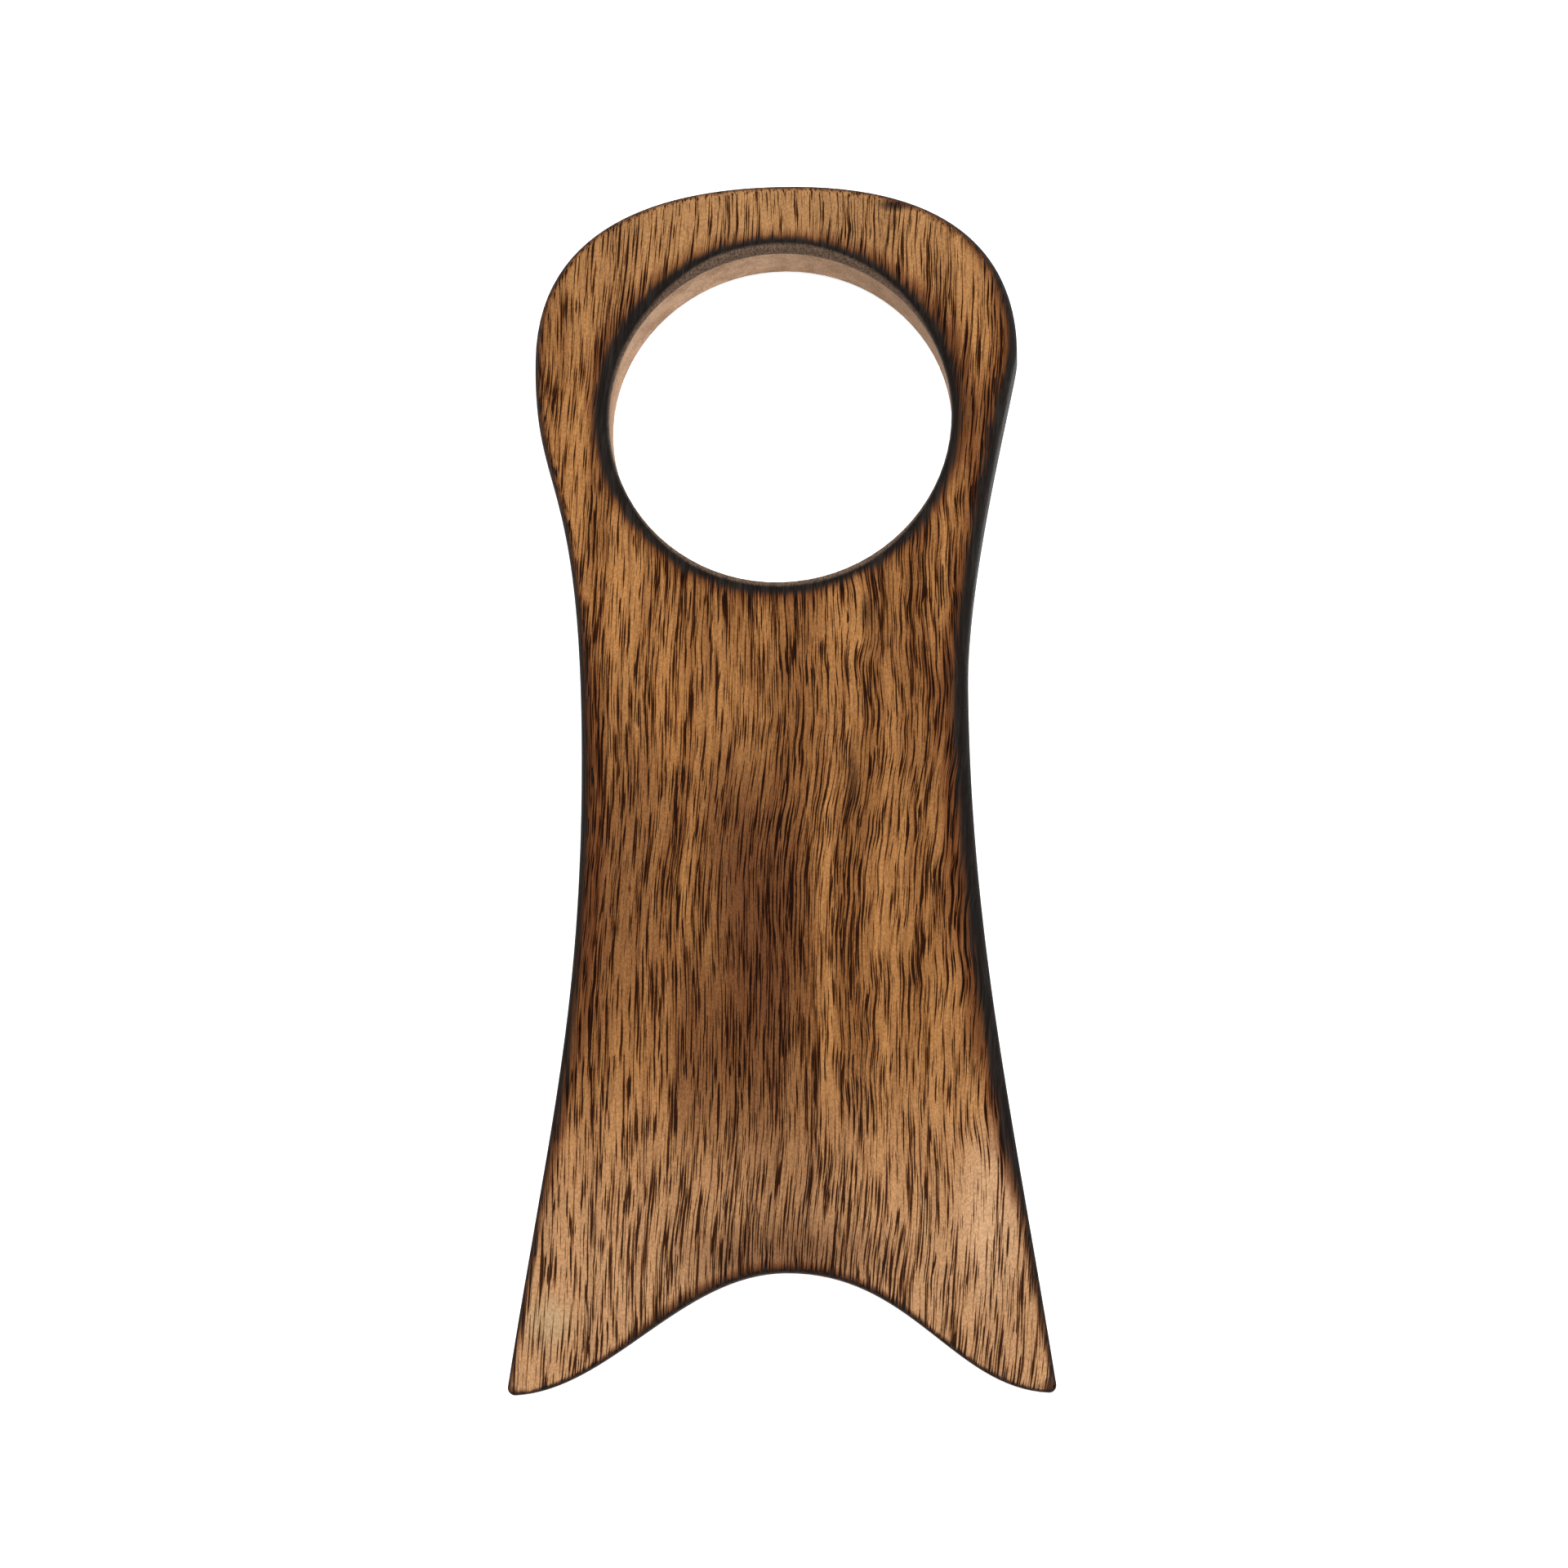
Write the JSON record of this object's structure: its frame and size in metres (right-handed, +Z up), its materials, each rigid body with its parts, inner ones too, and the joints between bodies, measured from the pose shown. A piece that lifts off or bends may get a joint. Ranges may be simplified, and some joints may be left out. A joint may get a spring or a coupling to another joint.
{
  "type": "door wedge",
  "caption": "Flat hardwood door wedge with a round hole in its thick head, a waisted body, a thin fishtail foot with an arched end, and rubber grip strips let into the underside.",
  "frame": {"origin": "middle of the outline's length and width, on the floor that the grip strips rest on", "axes": "+Z up, +Y along the length towards the thick head with the hole, +X to the right when the foot points at the viewer"},
  "size_m": [0.091, 0.2115, 0.0118],
  "materials": {
    "scorched_wood": "sanded and dry, scorched along the edges",
    "grip_rubber": "matt, ribbed"
  },
  "bodies": {
    "root": {"wedge_body": "scorched_wood", "grip_strip_foot": "grip_rubber", "grip_strip_waist": "grip_rubber", "grip_strip_neck": "grip_rubber"}
  },
  "joints": []
}
